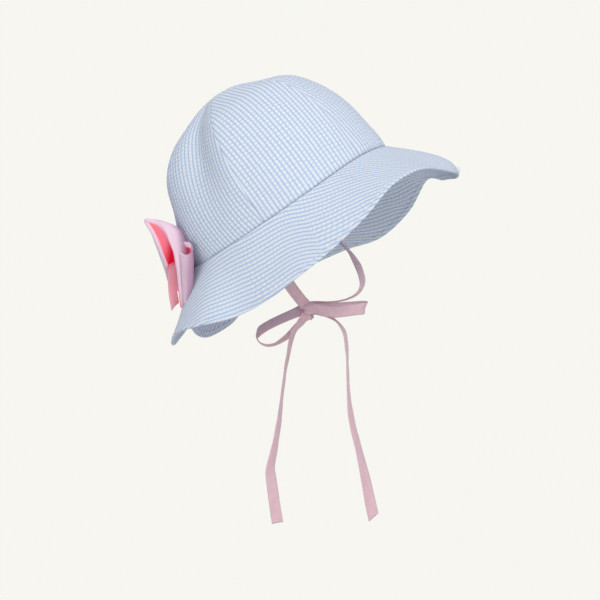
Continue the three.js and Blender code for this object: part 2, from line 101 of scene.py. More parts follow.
def crown_form(azimuth, height):
    """Outer face of the crown at an azimuth in degrees and a height share, 0 at the brim and 1 at the top."""
    turn = np.radians(azimuth)
    rise = height * math.pi / 2
    fullness = FRONT_FULLNESS + (BACK_FULLNESS - FRONT_FULLNESS) * (1 - np.cos(turn)) / 2
    spread = np.maximum(np.cos(rise), 0) ** (2 / fullness)
    lift = np.sin(rise) ** (2 / fullness)
    fade = np.maximum(np.sin(np.pi * height), 0) ** 0.7
    flat = np.ones_like(turn)
    for _, start, end, share in GORES:
        across = np.mod(azimuth - start, 360) / (end - start)
        inside = across <= 1
        flat = np.where(inside, 1 - share * 4 * across * (1 - across) * fade, flat)
    points = np.stack([HEAD_LENGTH / 2 * np.cos(turn) * spread * flat,
                       -HEAD_WIDTH / 2 * np.sin(turn) * spread * flat,
                       CROWN_HEIGHT * lift - SIDE_DIP * np.sin(turn) ** 2 * (1 - height) ** 2], -1)
    from_front = np.mod(azimuth + 180, 360) - 180
    low_down = (1 - height) ** FRONT_DROP_FADE
    points[..., 2] -= FRONT_DROP * np.exp(-(from_front / FRONT_DROP_SPREAD) ** 2) * low_down
    beside_knob = 1 - height ** KNOB_SHARPNESS
    sink = TOP_SINK * np.exp(-((height - TOP_SINK_LEVEL) / TOP_SINK_SPREAD) ** 2) * beside_knob
    points[..., 2] -= sink * (1 - TOP_SINK_LESS_BEHIND * (1 - np.cos(turn)) / 2)
    outwards = level_outwards(points)
    for middle, level, width, tall, depth in DENTS:
        away = np.mod(azimuth - middle + 180, 360) - 180
        share = np.exp(-(away / width) ** 2 - ((height - level) / tall) ** 2)
        points = points - outwards * (depth * share)[..., None]
    return points


def face_directions(points):
    """Unit direction square to a grid of points."""
    along = np.gradient(points, axis=0)
    up = np.gradient(points, axis=1)
    square = np.cross(along, up)
    return square / np.maximum(np.linalg.norm(square, axis=-1, keepdims=True), 1e-15)


def run_length(points, axis):
    """Length run along a grid axis, from its first point."""
    steps = np.linalg.norm(np.diff(points, axis=axis), axis=-1)
    start = np.zeros_like(np.take(steps, [0], axis=axis))
    return np.concatenate([start, np.cumsum(steps, axis=axis)], axis=axis)


pucker_draw = np.random.default_rng(7).uniform(-1, 1, (1024, 256))


def cut_size(points):
    """A curved sheet's flat width, length and area, measured over its smooth middle surface."""
    width = run_length(points, 0)[-1].max()
    length = run_length(points, 1)[:, -1].max()
    cells = np.cross(np.diff(points, axis=0)[:, :-1], np.diff(points, axis=1)[:-1])
    return (float(width), float(length)), float(np.linalg.norm(cells, axis=-1).sum())


def pucker(across, along):
    """Crinkles down every white stripe, from -1 to 1; they line up roughly from stripe to stripe."""
    phase = across / STRIPE_PITCH
    stripe = np.round(phase)
    crest = np.cos(np.pi * (phase - stripe)) ** 2
    row = stripe.astype(int) % 1024
    drift = 0.45 * np.sin(stripe * 0.55 + along / 0.013) + 0.3 * np.sin(stripe * 0.31 - along / 0.031 + 1.0)
    place = along / PUCKER_STEP + drift + 0.16 * pucker_draw[row, 0]
    low = np.round(place).astype(int)
    size = 0.72 + 0.38 * pucker_draw[row, low % 256]
    return crest * size * np.cos(2 * np.pi * place)


def slack(across, along, size):
    """Slow unevenness of soft cloth that hangs by itself."""
    a, b = across / 0.019, along / 0.023
    wave = (np.sin(a + 1.3 * np.sin(b * 0.7)) + np.sin(b * 1.3 + 0.8 * np.sin(a * 0.6) + 2.1)
            + 0.6 * np.sin((a + b) * 1.9 + 0.5) + 0.5 * np.sin((a - b) * 2.3 + 4.0))
    return size * wave / 3


def grid_faces(index):
    """The four-sided faces of a grid of spot numbers."""
    return np.stack([index[:-1, :-1], index[1:, :-1], index[1:, 1:], index[:-1, 1:]], -1).reshape(-1, 4)


def facing_out(spots, quads):
    """A closed mesh's faces, turned over if they point inwards."""
    p = spots[quads]
    volume = np.einsum("ij,ij->i", p[:, 0], np.cross(p[:, 1], p[:, 2]) + np.cross(p[:, 2], p[:, 3])).sum()
    return quads[:, ::-1] if volume < 0 else quads


def cloth_mesh(name, spots, quads, maps, materials):
    """A mesh with its cloth coordinates and its materials."""
    mesh = bpy.data.meshes.new(name)
    mesh.from_pydata(spots.reshape(-1, 3).tolist(), [], quads.tolist())
    layer = mesh.uv_layers.new(name="cloth")
    layer.data.foreach_set("uv", maps.reshape(-1, 2)[quads].astype(np.float32).ravel())
    for material in materials:
        mesh.materials.append(material)
    return mesh


def link_object(name, data):
    """Puts a mesh, a lamp or a camera into the scene."""
    item = bpy.data.objects.new(name, data)
    bpy.context.scene.collection.objects.link(item)
    return item


def cloth_skin(name, outer, inner, cloth_map, crinkle, material, sides=True):
    """A closed skin from its outer and inner grids, its stripes laid by cloth_map, in stripe pitches.
    The crinkle of each point is kept on the mesh for the material, which paints shade into its valleys and
    light on its crests."""
    columns, rows = outer.shape[:2]
    count = columns * rows
    grid = np.arange(count).reshape(columns, rows)

    def edge_wall(edge):
        return np.stack([edge[:-1], edge[:-1] + count, edge[1:] + count, edge[1:]], -1)

    face = grid_faces(grid)
    quads = [face, face[:, ::-1] + count, edge_wall(grid[:, 0]), edge_wall(grid[:, -1])[:, ::-1]]
    if sides:
        quads += [edge_wall(grid[0])[:, ::-1], edge_wall(grid[-1])]
    spots = np.concatenate([outer.reshape(-1, 3), inner.reshape(-1, 3)])
    maps = np.concatenate([cloth_map.reshape(-1, 2), cloth_map.reshape(-1, 2)])
    mesh = cloth_mesh(name, spots, facing_out(spots, np.concatenate(quads)), maps, [material])
    kept = mesh.attributes.new("crinkle", "FLOAT", "POINT")
    kept.data.foreach_set("value", np.concatenate([crinkle.ravel(), -crinkle.ravel()]).astype(np.float32))
    piece = link_object(name, mesh)
    close_up(piece)
    return piece


def close_up(piece):
    """Joins points that fall together, at the top and at a seam, and shades the piece smooth."""
    work = bmesh.new()
    work.from_mesh(piece.data)
    bmesh.ops.remove_doubles(work, verts=work.verts, dist=1e-6)
    bmesh.ops.dissolve_degenerate(work, dist=1e-7, edges=work.edges)
    work.to_mesh(piece.data)
    work.free()
    piece.data.polygons.foreach_set("use_smooth", [True] * len(piece.data.polygons))


def add_node(nodes, kind, inputs=None, **settings):
    """A new node, with its settings and the inputs that nothing is linked to."""
    node = nodes.new(kind)
    for name, value in settings.items():
        setattr(node, name, value)
    for name, value in (inputs or {}).items():
        node.inputs[name].default_value = value
    return node


def join(tree, *rows):
    """Links nodes: each row is a node, its output, the node that it goes to and that one's input."""
    for source, out, sink, into in rows:
        tree.links.new(source.outputs[out], sink.inputs[into])


def new_material(name, inputs):
    """A material, its node tree and its shader with these inputs."""
    material = bpy.data.materials.new(name)
    material.use_nodes = True
    shader = material.node_tree.nodes["Principled BSDF"]
    for key, value in inputs.items():
        shader.inputs[key].default_value = value
    return material, material.node_tree, shader


def seersucker_material():
    """Matt cotton, white and pale blue stripes down the cloth, each thread slightly uneven, with painted
    shade in the pucker valleys and painted light on their crests.
    """
    material, tree, shader = new_material("seersucker", {
        "Roughness": 0.86, "Specular IOR Level": 0.25, "Sheen Weight": 0.15, "Sheen Roughness": 0.5,
    })
    nodes = tree.nodes

    def math_node(operation, first, second):
        node = add_node(nodes, "ShaderNodeMath", operation=operation)
        for socket, value in zip(node.inputs, (first, second)):
            if isinstance(value, (int, float)):
                socket.default_value = value
            else:
                tree.links.new(value, socket)
        return node.outputs["Value"]

    cloth = add_node(nodes, "ShaderNodeUVMap", uv_map="cloth")
    wander = add_node(nodes, "ShaderNodeTexNoise", {"Scale": 0.9, "Detail": 2})
    split = add_node(nodes, "ShaderNodeSeparateXYZ")
    shift = math_node("MULTIPLY", math_node("SUBTRACT", wander.outputs["Fac"], 0.5), 0.22)
    phase = math_node("ADD", split.outputs["X"], shift)
    wave = math_node("COSINE", math_node("MULTIPLY", phase, 2 * math.pi), 0)
    stripe = add_node(nodes, "ShaderNodeMapRange", {"From Min": -0.92, "From Max": -0.02},
                      interpolation_type="SMOOTHSTEP")
    tree.links.new(wave, stripe.inputs["Value"])

    threads = add_node(nodes, "ShaderNodeTexNoise", {"Scale": 5.5, "Detail": 3})
    stretch = add_node(nodes, "ShaderNodeMapping", {"Scale": (1.6, 0.5, 1)})
    # Painted shade and light from each point's crinkle: the white stripes turn bluer and darker in the pucker
    # valleys, and the cloth is brighter on the crests.
    crests = add_node(nodes, "ShaderNodeAttribute", attribute_name="crinkle")
    bead = add_node(nodes, "ShaderNodeMapRange", {"From Min": -0.75, "From Max": 0.35, "To Min": 0.62},
                    interpolation_type="SMOOTHSTEP")
    dye_and_painted_shade = add_node(nodes, "ShaderNodeMix", {"A": BLUE_COTTON, "B": WHITE_COTTON}, data_type="RGBA")
    fade = add_node(nodes, "ShaderNodeMapRange", {"To Min": 0.90, "To Max": 1.08})
    painted_pucker_shading = add_node(nodes, "ShaderNodeMapRange", {
        "From Min": -0.8, "From Max": 0.8, "To Min": 0.93, "To Max": 1.10,
    })
    tone = add_node(nodes, "ShaderNodeVectorMath", operation="SCALE")
    whiteness_with_painted_shade = math_node("MULTIPLY", stripe.outputs["Result"], bead.outputs["Result"])
    tree.links.new(whiteness_with_painted_shade, dye_and_painted_shade.inputs["Factor"])
    thread_tone_and_painted_shading = math_node("MULTIPLY", fade.outputs["Result"], painted_pucker_shading.outputs["Result"])
    tree.links.new(thread_tone_and_painted_shading, tone.inputs["Scale"])

    crinkle = add_node(nodes, "ShaderNodeTexNoise", {"Scale": 1.7, "Detail": 4, "Roughness": 0.6})
    weave = add_node(nodes, "ShaderNodeTexVoronoi", {"Scale": 8})
    on_white = math_node("MULTIPLY", crinkle.outputs["Fac"], math_node("ADD", stripe.outputs["Result"], 0.2))
    relief = math_node("ADD", on_white, math_node("MULTIPLY", weave.outputs["Distance"], 0.18))
    bump = add_node(nodes, "ShaderNodeBump", {"Strength": 0.5, "Distance": 0.0007})
    tree.links.new(relief, bump.inputs["Height"])
    join(tree, (cloth, "UV", wander, "Vector"), (cloth, "UV", split, "Vector"),
         (cloth, "UV", stretch, "Vector"), (stretch, "Vector", threads, "Vector"),
         (crests, "Fac", bead, "Value"), (threads, "Fac", fade, "Value"), (crests, "Fac", painted_pucker_shading, "Value"),
         (dye_and_painted_shade, "Result", tone, "Vector"), (tone, "Vector", shader, "Base Color"),
         (cloth, "UV", crinkle, "Vector"), (cloth, "UV", weave, "Vector"), (bump, "Normal", shader, "Normal"))
    return material


seersucker = seersucker_material()


def gore_piece(node, start, end):
    """One gore, seam to seam: its cloth coordinates, then its puckered outer and inner faces."""
    across_size = math.radians(end - start) * HEAD_LENGTH / 2
    columns = int(across_size / CLOTH_GRAIN) + 1
    rows = int(LONGEST_GORE / CLOTH_GRAIN) + 1
    azimuth = np.linspace(start, end, columns)[:, None] * np.ones(rows)
    height = np.linspace(0, 1, rows)[None, :] * np.ones((columns, 1))
    form = crown_form(azimuth, height)
    run = run_length(form, 0)
    middle = columns // 2
    across = run - run[middle][None, :]
    along = np.broadcast_to(run_length(form, 1)[middle][None, :], across.shape)
    to_seam = np.minimum(run, run[-1][None, :] - run)
    if node == "crown_right_back":
        short = np.clip(1 - along / GRAIN_TURN_REACH, 0, 1)
        across = across + GRAIN_TURN * GRAIN_TURN_REACH / 2 * short ** 2
    outwards = face_directions(form)
    outwards[:, -1] = outwards[:, -2]
    way_out = np.sign(np.einsum("ijk,ijk->ij", outwards, form - INSIDE_THE_HAT))
    outwards = outwards * way_out[..., None]
    free = (1 - np.exp(-(to_seam / GORE_HOLD) ** 2)) * (1 - np.exp(-(along / BRIM_SEAM_HOLD) ** 2))
    crinkle = pucker(across, along) * free
    raised = crinkle * PUCKER_DEPTH + slack(across, along + start, CROWN_SLACK) * free
    seam_fold = -GORE_FOLD * np.exp(-(to_seam / GORE_FOLD_WIDTH) ** 2)
    brim_fold = -BRIM_FOLD * np.exp(-(along / BRIM_FOLD_WIDTH) ** 2)
    near_top = np.clip((1 - height) / CALM_TOP_SHARE, 0, 1)
    raised = raised * near_top + seam_fold * near_top + brim_fold
    outer = form + outwards * raised[..., None]
    inner = outer - outwards * CLOTH_THICKNESS
    outer[:, -1] = outer[:, -1].mean(0)
    inner[:, -1] = inner[:, -1].mean(0)
    cloth_map = np.stack([across, along], -1) / STRIPE_PITCH
    piece = cloth_skin(node + "_cloth", tipped_back(outer), tipped_back(inner), cloth_map, crinkle,
                       seersucker)
    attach(piece, "root")
    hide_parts(node)


for gore, start, end, _ in GORES:
    gore_piece(gore, start, end)

# Brim: one curved cut of the same cloth with its centre front on the stripes, so they sweep across it at
# the sides. It is sewn into the crown's lower edge and falls in soft waves; its outer edge has a narrow
# turned hem.
BRIM_WIDTH = 0.057
BRIM_SEAM_GAP = 0.0002
HEM_WIDTH = 0.0042
HEM_ROWS_FROM = 0.915
EDGE_ROUND = 0.0009
SLOPE_STEPS = 24
BRIM_SLACK = 0.0008
# The hem: the groove that its stitches pull, how far its cloth rises and thickens, and how softly
HEM_GROOVE, HEM_GROOVE_WIDTH = 0.0005, 0.0006
HEM_RISE, HEM_THICKER, HEM_SOFTNESS = 0.0004, 0.0007, 0.0002
# The brim's own seam at the centre back
BACK_HOLD, BACK_FOLD, BACK_FOLD_WIDTH = 0.0015, 0.0006, 0.0008
# azimuth in degrees, slope at the seam, slope at the outer edge, width as a share, and how late the slope
# changes from the first to the last: 1 evenly, higher only near the edge
BRIM_WAVES = np.array([
    (0, 43, 124, 1.06, 5.5), (15, 45, 68, 0.95, 4), (30, 40, 36, 0.985, 2), (45, 38, 34, 1, 1),
    (60, 46, 48, 1, 1), (75, 54, 54, 1, 1), (90, 60, 56, 1, 1), (105, 62, 60, 1, 1), (120, 58, 58, 1, 1),
    (135, 46, 40, 1, 1),
    (150, 40, 37, 0.95, 1), (160, 40, 40, 0.98, 1), (167, 42, 42, 1, 1), (174, 44, 46, 0.86, 1),
    (181, 46, 50, 0.74, 1), (189, 48, 54, 0.88, 1), (197, 48, 56, 0.95, 1), (212, 48, 50, 0.95, 1),
    (227, 34, 34, 1, 1), (240, 28, 28, 1, 1), (255, 30, 30, 1, 1), (270, 38, 36, 1, 1), (285, 48, 50, 1, 1),
    (300, 46, 44, 1, 1), (315, 32, 34, 0.97, 1), (330, 37.5, 92, 1, 3.5), (345, 42.5, 128, 1.08, 5),
], float)
# azimuth in degrees, and how far the cloth's stripes have turned from pointing straight out
BRIM_CUT = np.array([
    (-180, -141), (-160, -125), (-140, -108), (-120, -90), (-100, -72), (-85, -62), (-75, -60), (-64, -58),
    (-56, -49), (-49, -45), (-30, -28), (0, 0), (30, 28), (45, 45), (55, 58), (62, 61), (78, 58), (84, 70),
    (90, 82), (96, 87), (105, 86), (112, 82), (118, 88), (125, 94), (132, 98), (138, 106), (150, 118),
    (165, 130), (180, 141),
], float)
BRIM_PUCKER_SHARE = 0.5


def round_the_hat(table, column, azimuth):
    """One column of a table that goes round the hat, on a smooth curve through its rows."""
    places = np.concatenate([table[-2:, 0] - 360, table[:, 0], table[:2, 0] + 360])
    values = np.concatenate([table[-2:, column], table[:, column], table[:2, column]])
    turn = np.mod(azimuth, 360)
    k = np.searchsorted(places, turn, side="right") - 1
    step = places[k + 1] - places[k]
    slope_a = (values[k + 1] - values[k - 1]) / (places[k + 1] - places[k - 1]) * step
    slope_b = (values[k + 2] - values[k]) / (places[k + 2] - places[k]) * step
    f = (turn - places[k]) / step
    return ((2 * f ** 3 - 3 * f ** 2 + 1) * values[k] + (f ** 3 - 2 * f ** 2 + f) * slope_a
            + (3 * f ** 2 - 2 * f ** 3) * values[k + 1] + (f ** 3 - f ** 2) * slope_b)


def brim_form(azimuth, share):
    """Upper face of the brim at an azimuth and a share of its width, 0 at the seam and 1 at the edge."""
    start = crown_form(azimuth, np.zeros_like(azimuth))
    outwards = level_outwards(start)
    first = np.radians(round_the_hat(BRIM_WAVES, 1, azimuth))
    last = np.radians(round_the_hat(BRIM_WAVES, 2, azimuth))
    width = BRIM_WIDTH * round_the_hat(BRIM_WAVES, 3, azimuth)
    lateness = np.maximum(round_the_hat(BRIM_WAVES, 4, azimuth), 1)
    out = np.zeros_like(azimuth)
    down = np.zeros_like(azimuth)
    for k in range(SLOPE_STEPS):
        slope = first + (last - first) * (share * (k + 0.5) / SLOPE_STEPS) ** lateness
        out = out + np.cos(slope) * width * share / SLOPE_STEPS
        down = down + np.sin(slope) * width * share / SLOPE_STEPS
    points = start + outwards * out[..., None]
    points[..., 2] -= down + BRIM_SEAM_GAP
    return points


def brim_cloth(azimuth, share):
    """The brim's puckered upper face, its direction outwards, its cloth coordinates and its width run."""
    form = brim_form(azimuth, share)
    outwards = face_directions(form)
    outwards = outwards * np.sign(outwards[:, :1, 2:])
    fine = np.linspace(-180, 180, 1441)
    seam = crown_form(fine, np.zeros_like(fine))
    steps = np.linalg.norm(np.diff(seam, axis=0), axis=-1)
    seam_length = steps.sum()
    cut = np.radians(np.interp((fine[1:] + fine[:-1]) / 2, BRIM_CUT[:, 0], BRIM_CUT[:, 1]))
    seam_across = np.concatenate([[0], np.cumsum(np.cos(cut) * steps)])
    seam_along = np.concatenate([[0], np.cumsum(-np.sin(cut) * steps)])
    front = len(fine) // 2
    seam_across -= seam_across[front]
    seam_along -= seam_along[front]
    turned = np.radians(np.interp(azimuth, BRIM_CUT[:, 0], BRIM_CUT[:, 1]))
    width = BRIM_WIDTH * round_the_hat(BRIM_WAVES, 3, azimuth)
    run = width * share
    across = np.interp(azimuth, fine, seam_across) + run * np.sin(turned)
    along = np.interp(azimuth, fine, seam_along) + run * np.cos(turned)
    to_edge = width * (1 - share)
    to_back = np.abs(180 - np.abs(azimuth)) / 180 * seam_length / 2
    free = ((1 - np.exp(-(run / BRIM_SEAM_HOLD) ** 2)) * (1 - np.exp(-(to_back / BACK_HOLD) ** 2))
            * (1 - 0.75 * np.exp(-((to_edge - HEM_WIDTH / 2) / (HEM_WIDTH * 0.55)) ** 4)))
    crinkle = pucker(across, along) * free * BRIM_PUCKER_SHARE
    raised = crinkle * PUCKER_DEPTH + slack(across, along, BRIM_SLACK) * free
    raised = raised - BRIM_FOLD * np.exp(-(run / BRIM_FOLD_WIDTH) ** 2)
    raised = raised - HEM_GROOVE * np.exp(-((to_edge - HEM_WIDTH) / HEM_GROOVE_WIDTH) ** 2)
    raised = raised + HEM_RISE / (1 + np.exp((to_edge - HEM_WIDTH + 0.0008) / HEM_SOFTNESS))
    raised = raised - BACK_FOLD * np.exp(-(to_back / BACK_FOLD_WIDTH) ** 2)
    cloth_map = np.stack([across, along], -1) / STRIPE_PITCH
    return form + outwards * raised[..., None], outwards, cloth_map, crinkle, to_edge


# The rows are closer over the hem, and the columns on the wearer's right
brim_share = np.concatenate([np.linspace(0, HEM_ROWS_FROM, 60)[:-1], np.linspace(HEM_ROWS_FROM, 1, 12)])
round_columns = np.concatenate([np.linspace(-180, 0, 290)[:-1], np.linspace(0, 180, 390)])
brim_azimuth = round_columns[:, None] * np.ones(len(brim_share))
brim_share = brim_share[None, :] * np.ones((len(round_columns), 1))
brim_upper, brim_out, brim_map, brim_crinkle, to_edge = brim_cloth(brim_azimuth, brim_share)
brim_out[0] = brim_out[-1] = (brim_out[0] + brim_out[-1]) / 2
hem_extra = HEM_THICKER / (1 + np.exp((to_edge - HEM_WIDTH + 0.0004) / HEM_SOFTNESS))
rounding = np.sqrt(np.clip(1 - (1 - np.clip(to_edge / EDGE_ROUND, 0, 1)) ** 2, 0, 1))
wall = (CLOTH_THICKNESS + hem_extra) * (0.12 + 0.88 * rounding)
slip = (CLOTH_THICKNESS + hem_extra - wall) / 2
upper = brim_upper - brim_out * slip[..., None]
lower = upper - brim_out * wall[..., None]
upper[-1], lower[-1] = upper[0], lower[0]
brim = cloth_skin("brim_cloth", tipped_back(upper), tipped_back(lower), brim_map, brim_crinkle, seersucker,
                  sides=False)
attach(brim, "root")
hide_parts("brim")
brim_flat, brim_area = cut_size(brim_form(brim_azimuth, brim_share))

# Stitching: running stitches of white cotton thread, round the hem and just under the crown's seam.
THREAD_WHITE = (0.82, 0.86, 0.92, 1)
STITCH_LENGTH, STITCH_STEP, THREAD_RADIUS = 0.0021, 0.0030, 0.00021
THREAD_LIFT = 0.00012
SEAM_STITCH_DISTANCE = 0.0022


def thread_material():
    material, tree, shader = new_material("cotton_thread", {"Roughness": 0.7})
    place = add_node(tree.nodes, "ShaderNodeTexCoord")
    twist = add_node(tree.nodes, "ShaderNodeTexWave", {"Scale": 900, "Distortion": 1.5})
    darker = tuple(c * 0.82 for c in THREAD_WHITE[:3]) + (1,)
    shade = add_node(tree.nodes, "ShaderNodeMix", {"A": darker, "B": THREAD_WHITE}, data_type="RGBA")
    bump = add_node(tree.nodes, "ShaderNodeBump", {"Strength": 0.4, "Distance": 0.0001})
    join(tree, (place, "Object", twist, "Vector"), (twist, "Fac", shade, "Factor"),
         (shade, "Result", shader, "Base Color"), (twist, "Fac", bump, "Height"),
         (bump, "Normal", shader, "Normal"))
    return material


cotton_thread = thread_material()


def running_stitch_tree():
    """Nodes that lay one stitch at every step along a line."""
    tree = bpy.data.node_groups.new("running_stitch", "GeometryNodeTree")
    for port, kind in (("Line", "Geometry"), ("Stitch Length", "Float"), ("Stitch Step", "Float"),
                       ("Thread Radius", "Float"), ("Thread", "Material")):
        tree.interface.new_socket(port, in_out="INPUT", socket_type="NodeSocket" + kind)
    tree.interface.new_socket("Stitches", in_out="OUTPUT", socket_type="NodeSocketGeometry")
    nodes = tree.nodes
    given = nodes.new("NodeGroupInput")
    made = nodes.new("NodeGroupOutput")
    line = nodes.new("GeometryNodeMeshToCurve")
    spots = add_node(nodes, "GeometryNodeCurveToPoints", mode="LENGTH")
    bead = add_node(nodes, "GeometryNodeMeshUVSphere", {"Segments": 6, "Rings": 4, "Radius": 1})
    half = add_node(nodes, "ShaderNodeMath", {1: 0.5}, operation="MULTIPLY")
    size = nodes.new("ShaderNodeCombineXYZ")
    pull = nodes.new("GeometryNodeTransform")
    lay = nodes.new("GeometryNodeInstanceOnPoints")
    real = nodes.new("GeometryNodeRealizeInstances")
    finish = nodes.new("GeometryNodeSetMaterial")
    join(tree, (given, "Line", line, "Mesh"), (line, "Curve", spots, "Curve"),
         (given, "Stitch Step", spots, "Length"), (given, "Stitch Length", half, 0),
         (given, "Thread Radius", size, "X"), (given, "Thread Radius", size, "Y"), (half, "Value", size, "Z"),
         (bead, "Mesh", pull, "Geometry"), (size, "Vector", pull, "Scale"), (spots, "Points", lay, "Points"),
         (spots, "Rotation", lay, "Rotation"), (pull, "Geometry", lay, "Instance"),
         (lay, "Instances", real, "Geometry"), (real, "Geometry", finish, "Geometry"),
         (given, "Thread", finish, "Material"), (finish, "Geometry", made, "Stitches"))
    return tree


running_stitch = running_stitch_tree()


def stitch_row(name, lines):
    """Stitches along each line of points, as one plain mesh."""
    spots, edges = [], []
    for points in lines:
        first = len(spots)
        spots += [tuple(p) for p in points]
        edges += [(first + k, first + k + 1) for k in range(len(points) - 1)]
    guide_mesh = bpy.data.meshes.new(name + "_guide")
    guide_mesh.from_pydata(spots, edges, [])
    guide = link_object(name + "_guide", guide_mesh)
    sewing = guide.modifiers.new("sewing", "NODES")
    sewing.node_group = running_stitch
    values = {"Stitch Length": STITCH_LENGTH, "Stitch Step": STITCH_STEP, "Thread Radius": THREAD_RADIUS,
              "Thread": cotton_thread}
    for item in running_stitch.interface.items_tree:
        if item.item_type == "SOCKET" and item.in_out == "INPUT" and item.name in values:
            sewing[item.identifier] = values[item.name]
    settled = guide.evaluated_get(bpy.context.evaluated_depsgraph_get())
    mesh = bpy.data.meshes.new_from_object(settled)
    mesh.name = name
    bpy.data.objects.remove(guide)
    piece = link_object(name, mesh)
    piece.data.polygons.foreach_set("use_smooth", [True] * len(piece.data.polygons))
    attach(piece, "root")


def brim_line(from_edge=None, from_seam=None, under=False, columns=500):
    """A line round the brim at a distance from its edge or its seam, on its upper or under face."""
    azimuth = np.linspace(-180, 180, columns)
    width = BRIM_WIDTH * round_the_hat(BRIM_WAVES, 3, azimuth)
    share = from_seam / width if from_edge is None else 1 - from_edge / width
    azimuth = azimuth[:, None] * np.ones(3)
    share = share[:, None] + np.array([-0.004, 0, 0.004])
    points, outwards, _, _, _ = brim_cloth(azimuth, share)
    lift = -(CLOTH_THICKNESS + THREAD_LIFT) if under else THREAD_LIFT
    return tipped_back(points[:, 1] + outwards[:, 1] * lift)


stitch_row("hem_stitches", [brim_line(from_edge=HEM_WIDTH), brim_line(from_edge=HEM_WIDTH, under=True)])
stitch_row("brim_seam_stitches", [brim_line(from_seam=SEAM_STITCH_DISTANCE)])

# Back bow: wide soft pink ribbon, folded into two pairs of loops with two tails, held by a wrap and sewn
# over the brim seam at the centre back. The ribbon's inner face is a deeper pink; painted shade darkens both
# faces into the folds and loop mouths, the inner faces carry a painted glow, and the tails' salmon is painted
# shade.
BOW_RIBBON_THICKNESS, INNER_RIBBON_THICKNESS = 0.0031, 0.0018
LEFT_LOOP_DROOP = 0.78
BOW_ACROSS, BOW_ALONG = 56, 24
# Painted shade: the mauve darkens the outer faces into the folds, and the crimson darkens the inner faces
# deep in the loops and mouths; the outer pink and the salmon inner face near the rim are the ribbon's own
# colours.
BOW_OUTER_PINK = (0.80, 0.58, 0.69, 1)
# Painted shade: the tails' deeper salmon pink stands in for the shade and pink bounce light they hang in; the
# ribbon itself is the loops' pink.
BOW_TAIL_SHADED_PINK = (0.90, 0.50, 0.58, 1)
BOW_SHADED_MAUVE = (0.40, 0.22, 0.34, 1)
BOW_INNER_SALMON = (0.86, 0.37, 0.45, 1)
BOW_INNER_SHADE_CRIMSON = (0.69, 0.008, 0.060, 1)


def bow_material(name, near, painted_shade_colour, run=(0, 1, 0), reach_from=0.98, reach_to=0.45, painted_glow=0.0,
                 through_space=False):
    """Soft ribbon with painted shade: its colour is mixed towards a darker shade colour into its folds, along
    a run over the cloth's UV or through space, and it can carry a painted glow.
    """
    material, tree, shader = new_material(name, {
        "Roughness": 0.62, "Sheen Weight": 0.3, "Sheen Roughness": 0.4, "Emission Strength": painted_glow,
    })
    nodes = tree.nodes
    place = add_node(nodes, "ShaderNodeTexCoord")
    depth = add_node(nodes, "ShaderNodeVectorMath", {1: run}, operation="DOT_PRODUCT")
    if through_space:
        join(tree, (place, "Object", depth, 0))
    else:
        fold = add_node(nodes, "ShaderNodeUVMap", uv_map="cloth")
        join(tree, (fold, "UV", depth, 0))
    # Painted shade: along the run the colour is mixed from the ribbon's own towards the shade colour.
    reach = add_node(nodes, "ShaderNodeMapRange", {"From Min": reach_from, "From Max": reach_to},
                     interpolation_type="SMOOTHSTEP")
    dye_and_painted_shade = add_node(nodes, "ShaderNodeMix", {"A": near, "B": painted_shade_colour}, data_type="RGBA")
    knit = add_node(nodes, "ShaderNodeTexNoise", {"Scale": 1400, "Detail": 3})
    fade = add_node(nodes, "ShaderNodeMapRange", {"To Min": 0.95, "To Max": 1.04})
    tone = add_node(nodes, "ShaderNodeVectorMath", operation="SCALE")
    bump = add_node(nodes, "ShaderNodeBump", {"Strength": 0.25, "Distance": 0.0002})
    # The mixed colour is also the emission colour, a painted glow wherever the glow strength is above nought.
    join(tree, (depth, "Value", reach, "Value"), (reach, "Result", dye_and_painted_shade, "Factor"),
         (place, "Object", knit, "Vector"), (knit, "Fac", fade, "Value"), (dye_and_painted_shade, "Result", tone, "Vector"),
         (fade, "Result", tone, "Scale"), (tone, "Vector", shader, "Base Color"),
         (tone, "Vector", shader, "Emission Color"), (knit, "Fac", bump, "Height"),
         (bump, "Normal", shader, "Normal"))
    return material


# Painted shade: the outer faces turn mauve towards the knot, the inner faces turn crimson deep in the loops
# with a painted glow, and the inner loops turn mauve across towards the hat and crimson into their mouths
# with a weaker painted glow.
bow_outside = bow_material("bow_ribbon_outside", BOW_OUTER_PINK, BOW_SHADED_MAUVE, (1.2, -1.5, 0), -0.5,
                           -0.15)
bow_inside = bow_material("bow_ribbon_inside", BOW_INNER_SALMON, BOW_INNER_SHADE_CRIMSON, (44, 0, -17.4), -3.42,
                          -3.10, 0.3, through_space=True)
bow_inner_outside = bow_material("bow_ribbon_inner_outside", BOW_OUTER_PINK, BOW_SHADED_MAUVE, (1, 0, 0),
                                 0.36, 0.60)
bow_inner_fold = bow_material("bow_ribbon_inner_fold", BOW_OUTER_PINK, BOW_INNER_SHADE_CRIMSON, (0, 1, 0), 0.91,
                              0.86, 0.1)
bow_wrap_face = bow_material("bow_ribbon_wrap", BOW_OUTER_PINK, BOW_OUTER_PINK)
bow_tail_face = bow_material("bow_ribbon_tail", BOW_TAIL_SHADED_PINK, BOW_TAIL_SHADED_PINK)

